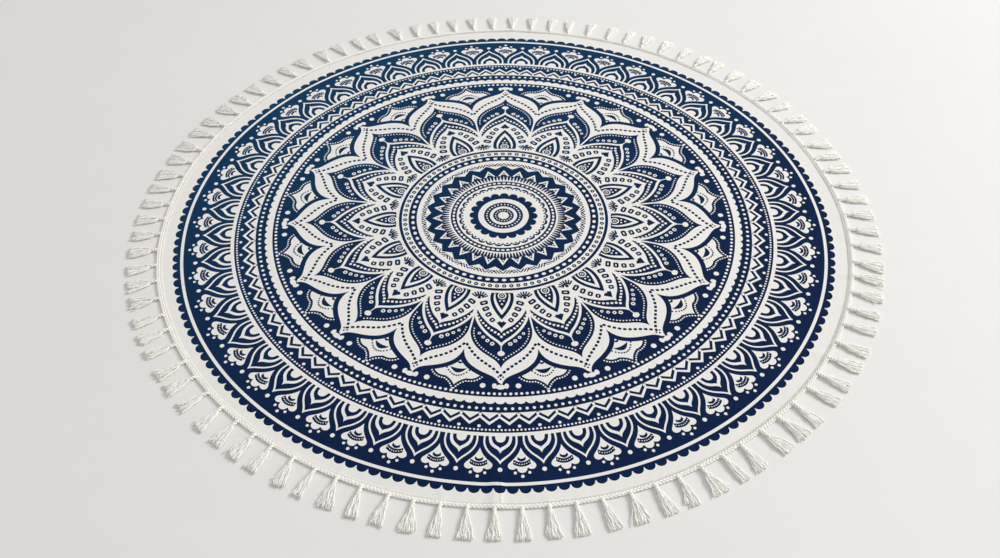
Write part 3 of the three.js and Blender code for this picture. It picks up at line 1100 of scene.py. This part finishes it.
class TABLECLOTH_OT_braid(bpy.types.Operator):
    """Build the plaited braid and its looped upper edge, which is sewn on the cloth"""
    bl_idname = "tablecloth.braid"
    bl_label = "Braid"

    STRANDS = 3
    STRAND_SIDES = 6
    STEPS_PER_PLAIT = 12
    STRAND_SHARE = 0.20
    # Height of a strand's middle and how far it weaves up and down, in its own radii
    STRAND_HEIGHT, STRAND_WEAVE = 1.5, 0.45

    # The loops of the upper edge, which lie on the cloth
    LOOP_LENGTH = 5.6 * MM
    LOOP_SWING = 2.3 * MM
    LOOP_INSIDE = 0.7 * MM
    LOOP_RADIUS = 0.9 * MM
    LOOP_SIDES = 4
    LOOP_HEIGHT, LOOP_WEAVE = 0.7, 0.5
    STEPS_PER_LOOP = 8

    def execute(self, context):
        settings = context.scene.tablecloth_trim
        length = TURN * (CLOTH_RADIUS + settings.braid_width / 2)
        plaits = round(length / settings.plait_length)
        plaits += 1 - plaits % self.STRANDS if plaits % self.STRANDS else 0
        strand_radius = settings.braid_width * self.STRAND_SHARE
        swing = settings.braid_width / 2 - strand_radius
        steps = plaits * self.STEPS_PER_PLAIT
        way = TURN * np.arange(steps) / steps
        strands = []
        for strand in range(self.STRANDS):
            phase = plaits * way + TURN * strand / self.STRANDS
            radius = edge_radius(way) + EDGE_GAP + settings.braid_width / 2 + swing * np.sin(phase)
            woven = self.STRAND_HEIGHT + self.STRAND_WEAVE * np.sin(2 * phase)
            height = lift(edge_radius(way), way) + strand_radius * woven
            strands.append(np.column_stack([*polar(radius, way), height]))
        tubes = Tubes(self.STRAND_SIDES)
        tubes.add(np.array(strands), strand_radius, closed=True)
        material = yarn_material("Braid cotton", settings.natural, *BRAID_YARN)
        braid = tubes.piece("plaited_braid", material)
        for piece in (braid, self.loops(context)):
            dress(piece, "tassel_trim")
        return {"FINISHED"}

    def loops(self, context):
        """Two yarns that swing across each other on the cloth's edge."""
        cloth = context.scene.tablecloth_cloth
        count = round(TURN * CLOTH_RADIUS / self.LOOP_LENGTH)
        way = TURN * np.arange(count * self.STEPS_PER_LOOP) / (count * self.STEPS_PER_LOOP)
        yarns = []
        for start in (0, math.pi):
            phase = count * way + start
            radius = edge_radius(way) - self.LOOP_INSIDE + self.LOOP_SWING * np.sin(phase)
            height = lift(edge_radius(way), way) + cloth.thickness + cloth.ripple
            height += self.LOOP_RADIUS * (self.LOOP_HEIGHT + self.LOOP_WEAVE * np.cos(phase))
            yarns.append(np.column_stack([*polar(radius, way), height]))
        tubes = Tubes(self.LOOP_SIDES)
        tubes.add(np.array(yarns), self.LOOP_RADIUS, closed=True)
        colour = context.scene.tablecloth_trim.natural
        return tubes.piece("braid_loops", yarn_material("Loop cotton", colour, *LOOP_YARN))


class TABLECLOTH_OT_tassels(bpy.types.Operator):
    """Build the tassels, each a twisted cord, a tie and a skirt of loose yarns"""
    bl_idname = "tablecloth.tassels"
    bl_label = "Tassels"

    SIDES = ("near", "right", "far", "left")
    GOLDEN_TURN = 2.39996

    # The skirt, from under its tie to its open end
    ROWS = 12
    YARN_SIDES = 5
    SKIRT_FROM = 13 * MM
    SKIRT_TO = 61.5 * MM
    TIED_HALF_WIDTH = 3.2 * MM
    OPEN_HALF_WIDTH = 13.5 * MM
    BROADER_SIDES = 0.3
    MEAN_NARROWING = 0.3
    # The power by which it opens, and how much sooner it opens at the sides
    OPENING, SOONER_SIDES = 0.75, 0.35
    HALF_HEIGHT = 3.0 * MM
    FLATTENING = 0.4
    YARN_CLEARANCE = 1.0 * MM
    # A few thick yarns that fill the middle of the skirt: how many, and half their thickness
    CORE = (9, 1.9 * MM)
    SHORTEST = 0.80
    CURL = 0.9 * MM
    CURL_LENGTH = 26 * MM
    CURL_CHANGE = 0.3
    CURL_START = 3
    CURL_RISE = 0.5

    # How far yarns leave their places: round the skirt, across it, up and in a bend. One yarn in
    # ten strays out of the skirt.
    TURN_CHANGE = 0.3
    SIDE_CHANGE = 1.5 * MM
    RISE_CHANGE = 0.3 * MM
    BEND = 3.0 * MM
    STRAY = 0.6
    STRAY_FROM = 0.8
    LUCKS = 8

    # The two cords twisted round each other, and the yarn tied round their end. How far each
    # swings across and up is in cord radii.
    CORD_FROM = -3.5 * MM
    CORD_RADIUS = 2.3 * MM
    CORD_SIDES = 6
    CORD_TWIST = 12 * MM
    CORD_SWING = (0.85, 0.8)
    TIE = (13.5 * MM, 17.5 * MM)
    TIE_TURNS = 3
    TIE_RADIUS = 0.7 * MM
    TIE_SWING = (1.7, 1.5)
    STEPS_PER_TURN = 10

    def execute(self, context):
        settings = context.scene.tablecloth_trim
        material = yarn_material("Tassel cotton", settings.natural, *TASSEL_YARN)
        quarter = TASSEL_COUNT // len(self.SIDES)
        for side, name in enumerate(self.SIDES):
            yarns, cords = Tubes(self.YARN_SIDES), Tubes(self.CORD_SIDES)
            for i in range(quarter):
                k = (side * quarter - quarter // 2 + i) % TASSEL_COUNT
                self.add_tassel(yarns, cords, k, settings)
            for tubes, kind in ((yarns, "tassels_"), (cords, "tassel_heads_")):
                dress(tubes.piece(kind + name, material), "tassel_trim")
        return {"FINISHED"}

    def add_tassel(self, yarns, cords, k, settings):
        angle = float(tassel_angle(k))
        free = float(between_sides(angle))
        braid_edge = float(edge_radius(angle)) + EDGE_GAP + settings.braid_width
        root = np.array([*polar(braid_edge, angle), 0.0])
        out = np.array([*polar(1.0, angle + LEAN * wander(k, LEANING) * free), 0.0])
        side = np.array([-out[1], out[0], 0.0])

        def placed(way, across, height):
            return root + way[..., None] * out + across[..., None] * side + height[..., None] * UP

        for count, radius in ((settings.yarns, settings.yarn_radius), self.CORE):
            yarns.add(placed(*self.yarn_ways(k, angle, count, radius)), radius)
        self.add_cords(cords, placed)

    def yarn_ways(self, k, angle, count, radius):
        """Way out, place across and height of every yarn at every row."""
        free = float(between_sides(angle))
        sideways = math.sin(angle) ** 2
        yarn = np.arange(count)[:, None]
        luck = [wander(yarn + count * k, trait) for trait in range(self.LUCKS)]
        share = np.linspace(0, 1, self.ROWS)
        way = self.SKIRT_FROM + (self.SKIRT_TO - self.SKIRT_FROM) * share
        opened = share ** (self.OPENING - self.SOONER_SIDES * sideways)
        spread = (1 + self.BROADER_SIDES * sideways
                  + SPREAD_CHANGE * (wander(k, SPREADING) * free - self.MEAN_NARROWING))
        widest = self.OPEN_HALF_WIDTH * spread
        half_width = self.TIED_HALF_WIDTH + (widest - self.TIED_HALF_WIDTH) * opened
        half_height = self.HALF_HEIGHT * (1 - self.FLATTENING * share ** 2)
        reach = np.sqrt((yarn + 0.5) / count)
        turn = yarn * self.GOLDEN_TURN + self.TURN_CHANGE * luck[0]
        stray = 1 + self.STRAY * share * (luck[1] > self.STRAY_FROM) * np.abs(luck[2])
        length = 1 - (1 - self.SHORTEST) * np.abs(luck[3]) ** 2 * share
        curl_length = self.CURL_LENGTH * (1 + self.CURL_CHANGE * luck[4])
        swing = TURN * way / curl_length + self.CURL_START * luck[5]
        curl = self.CURL * np.sqrt(opened)
        bend = self.BEND * wander(k, BENDING) * free * share ** 2
        across = (reach * np.cos(turn) * half_width * stray
                  + curl * np.sin(swing) + self.SIDE_CHANGE * luck[6] * share + bend)
        height = (half_height + self.YARN_CLEARANCE + reach * np.sin(turn) * half_height
                  + self.CURL_RISE * curl * np.cos(swing) + self.RISE_CHANGE * luck[7] * share)
        return way * length, across, np.maximum(height, radius)

    def add_cords(self, cords, placed):
        """The twisted cords, and the tie round their end."""
        start, end = self.TIE
        way = np.arange(self.CORD_FROM, start, self.CORD_TWIST / self.STEPS_PER_TURN)
        turns = TURN * way / self.CORD_TWIST
        steps = np.arange(self.TIE_TURNS * self.STEPS_PER_TURN + 1)
        tie_way = start + (end - start) * steps / steps[-1]
        tie_turns = TURN * steps / self.STEPS_PER_TURN
        for path, angles, swing, radius in (
            (way, turns, self.CORD_SWING, self.CORD_RADIUS),
            (way, turns + math.pi, self.CORD_SWING, self.CORD_RADIUS),
            (tie_way, tie_turns, self.TIE_SWING, self.TIE_RADIUS),
        ):
            across = swing[0] * self.CORD_RADIUS * np.cos(angles)
            height = 2 * self.CORD_RADIUS + swing[1] * self.CORD_RADIUS * np.sin(angles)
            cords.add(placed(path, across, height)[None], radius)


class TABLECLOTH_OT_stage(bpy.types.Operator):
    """Set up the floor, the soft light and the camera at the photograph's angle"""
    bl_idname = "tablecloth.stage"
    bl_label = "Stage"

    # The camera over the print's middle, in print radii, and its angles
    CAMERA_PLACE = (-0.0120, -2.3543, 2.1183)
    CAMERA_PITCH = 0.7945
    CAMERA_ROLL = -0.0062
    FOCAL_LENGTH_PIXELS = 1017.8
    PICTURE_WIDTH_PIXELS = 1000
    SENSOR_WIDTH = 36
    WINDOW_PLACE = Vector((7.0, 2.0, 5.0))
    WINDOW_SIZE = (4.0, 3.0)
    SKY_COLOUR = (0.99, 0.99, 1.0, 1.0)
    FLOOR_HALF = 6.0

    def execute(self, context):
        context.scene.view_settings.view_transform = "Standard"
        self.floor(context)
        self.lights(context)
        self.camera(context)
        return {"FINISHED"}

    def floor(self, context):
        half = self.FLOOR_HALF
        corners = [(-half, -half, 0), (half, -half, 0), (half, half, 0), (-half, half, 0)]
        material, shader = matt_material("Pale floor", FLOOR_FINISH)
        tree = material.node_tree
        mottle = placed_group(material, mottle_group, FLOOR_MOTTLE)
        colour = context.scene.tablecloth_stage.floor
        shaded = scaled_colour(tree, colour, mottle.outputs["Shade"])
        tree.links.new(shaded, shader.inputs["Base Color"])
        new_piece("floor", corners, [(0, 1, 2, 3)], [material], smooth=False)

    def lights(self, context):
        settings = context.scene.tablecloth_stage
        window = bpy.data.lights.new("window", "AREA")
        window.shape = "RECTANGLE"
        window.size, window.size_y = self.WINDOW_SIZE
        window.energy = settings.window
        lamp = bpy.data.objects.new("window", window)
        lamp.location = self.WINDOW_PLACE
        lamp.rotation_euler = (-self.WINDOW_PLACE).to_track_quat("-Z", "Y").to_euler()
        context.scene.collection.objects.link(lamp)
        world = bpy.data.worlds.new("soft sky")
        world.use_nodes = True
        background = world.node_tree.nodes["Background"]
        background.inputs["Color"].default_value = self.SKY_COLOUR
        background.inputs["Strength"].default_value = settings.sky
        context.scene.world = world

    def camera(self, context):
        cloth = context.scene.tablecloth_cloth
        lens = bpy.data.cameras.new("camera")
        lens.sensor_fit = "HORIZONTAL"
        lens.sensor_width = self.SENSOR_WIDTH
        lens.lens = self.SENSOR_WIDTH * self.FOCAL_LENGTH_PIXELS / self.PICTURE_WIDTH_PIXELS
        eye = bpy.data.objects.new("camera", lens)
        eye.location = Vector((*cloth.print_centre, 0.0))
        eye.location += cloth.print_radius * Vector(self.CAMERA_PLACE)
        forward = Vector((0.0, math.cos(self.CAMERA_PITCH), -math.sin(self.CAMERA_PITCH)))
        level = Vector((1.0, 0.0, 0.0))
        above = level.cross(forward)
        right = math.cos(self.CAMERA_ROLL) * level + math.sin(self.CAMERA_ROLL) * above
        axes = Matrix((right, right.cross(forward), -forward)).transposed()
        eye.rotation_euler = axes.to_euler()
        context.scene.collection.objects.link(eye)
        context.scene.camera = eye


class TABLECLOTH_PT_sidebar(bpy.types.Panel):
    """Lists the steps and the sizes of the tablecloth"""
    bl_idname = "TABLECLOTH_PT_sidebar"
    bl_label = "Tablecloth"
    bl_space_type = "VIEW_3D"
    bl_region_type = "UI"
    bl_category = "Tablecloth"

    def draw(self, context):
        for operator in OPERATORS:
            self.layout.operator(operator.bl_idname)
        for name in SETTINGS:
            settings = getattr(context.scene, name)
            for key in settings.bl_rna.properties.keys():
                if key not in ("rna_type", "name"):
                    self.layout.prop(settings, key)


SETTINGS = {
    "tablecloth_cloth": ClothSettings,
    "tablecloth_trim": TrimSettings,
    "tablecloth_stage": StageSettings,
}
OPERATORS = (TABLECLOTH_OT_stage, TABLECLOTH_OT_cloth, TABLECLOTH_OT_braid, TABLECLOTH_OT_tassels)


def register():
    for name, settings in SETTINGS.items():
        bpy.utils.register_class(settings)
        setattr(bpy.types.Scene, name, bpy.props.PointerProperty(type=settings))
    for operator in OPERATORS:
        bpy.utils.register_class(operator)
    bpy.utils.register_class(TABLECLOTH_PT_sidebar)


def unregister():
    bpy.utils.unregister_class(TABLECLOTH_PT_sidebar)
    for operator in reversed(OPERATORS):
        bpy.utils.unregister_class(operator)
    for name, settings in SETTINGS.items():
        delattr(bpy.types.Scene, name)
        bpy.utils.unregister_class(settings)


def main():
    register()
    bpy.ops.tablecloth.stage()
    bpy.ops.tablecloth.cloth()
    bpy.ops.tablecloth.braid()
    bpy.ops.tablecloth.tassels()


if __name__ == "__main__":
    main()
